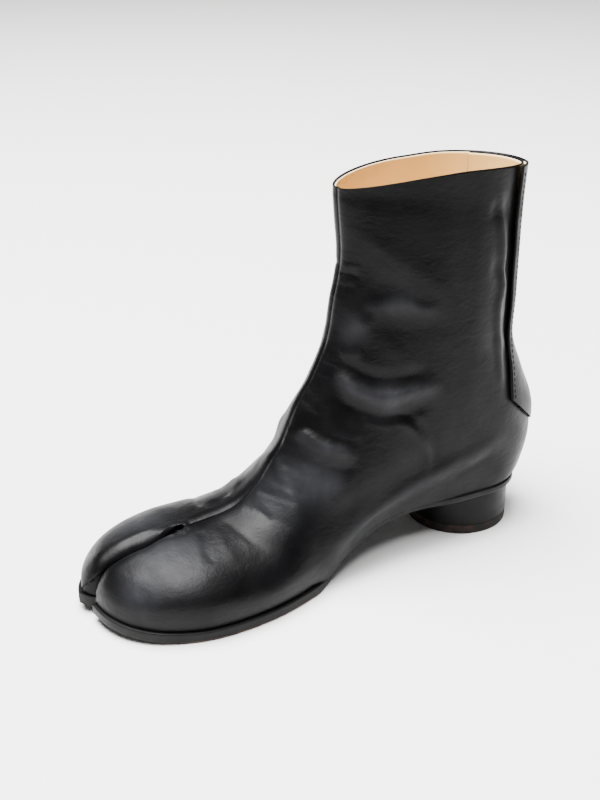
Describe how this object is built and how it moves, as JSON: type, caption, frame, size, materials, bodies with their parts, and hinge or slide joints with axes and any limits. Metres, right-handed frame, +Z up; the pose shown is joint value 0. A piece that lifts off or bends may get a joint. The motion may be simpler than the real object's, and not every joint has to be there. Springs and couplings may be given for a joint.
{
  "type": "split-toe leather ankle boot",
  "caption": "Right split-toe ankle boot of black leather with a tan lining, a low round heel and a lapped closure at the back.",
  "frame": {"origin": "on the floor under the middle of the round heel", "axes": "+Z up, the toe towards -Y, the big toe's side towards +X"},
  "size_m": [0.1044, 0.2859, 0.2187],
  "materials": {
    "upper_leather": "satin",
    "sole_leather": "satin",
    "lining_leather": "matte",
    "heel_stack": "satin",
    "heel_rubber": "matte"
  },
  "bodies": {
    "root": {"upper": "upper_leather", "outsole": "sole_leather", "insole": "lining_leather", "heel_block": "heel_stack", "heel_lift": "heel_rubber"}
  },
  "joints": []
}
